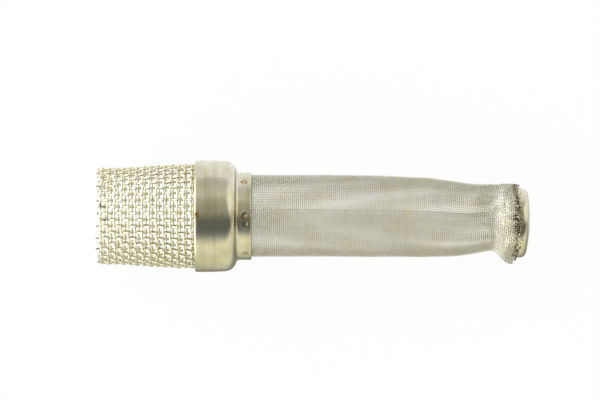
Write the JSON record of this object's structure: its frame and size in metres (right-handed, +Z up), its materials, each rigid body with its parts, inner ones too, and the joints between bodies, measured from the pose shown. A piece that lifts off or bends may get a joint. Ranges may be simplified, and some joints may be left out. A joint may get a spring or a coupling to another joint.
{
  "type": "transmission filter",
  "caption": "Woven wire oil filter: an open coarse guard and a long closed fine sleeve, both held in a stepped pressed collar.",
  "frame": {"origin": "centre of the collar's rim, where the straight land begins", "axes": "+X along the filter's axis from the collar to the closed end, +Z up, the sleeve's ear on the -Y side"},
  "size_m": [0.1342, 0.0346, 0.0346],
  "materials": {
    "pressed_steel": "deep drawn stainless sheet, satin with faint drawing lines round it",
    "coarse_wire": "coarse plain weave of bright drawn stainless wire",
    "fine_wire": "fine plain weave of bright drawn stainless wire, heat stained at its cut edge"
  },
  "bodies": {
    "root": {"collar": "pressed_steel", "coarse_mesh_guard": "coarse_wire", "fine_mesh_sleeve": "fine_wire", "end_cap": "pressed_steel"}
  },
  "joints": []
}
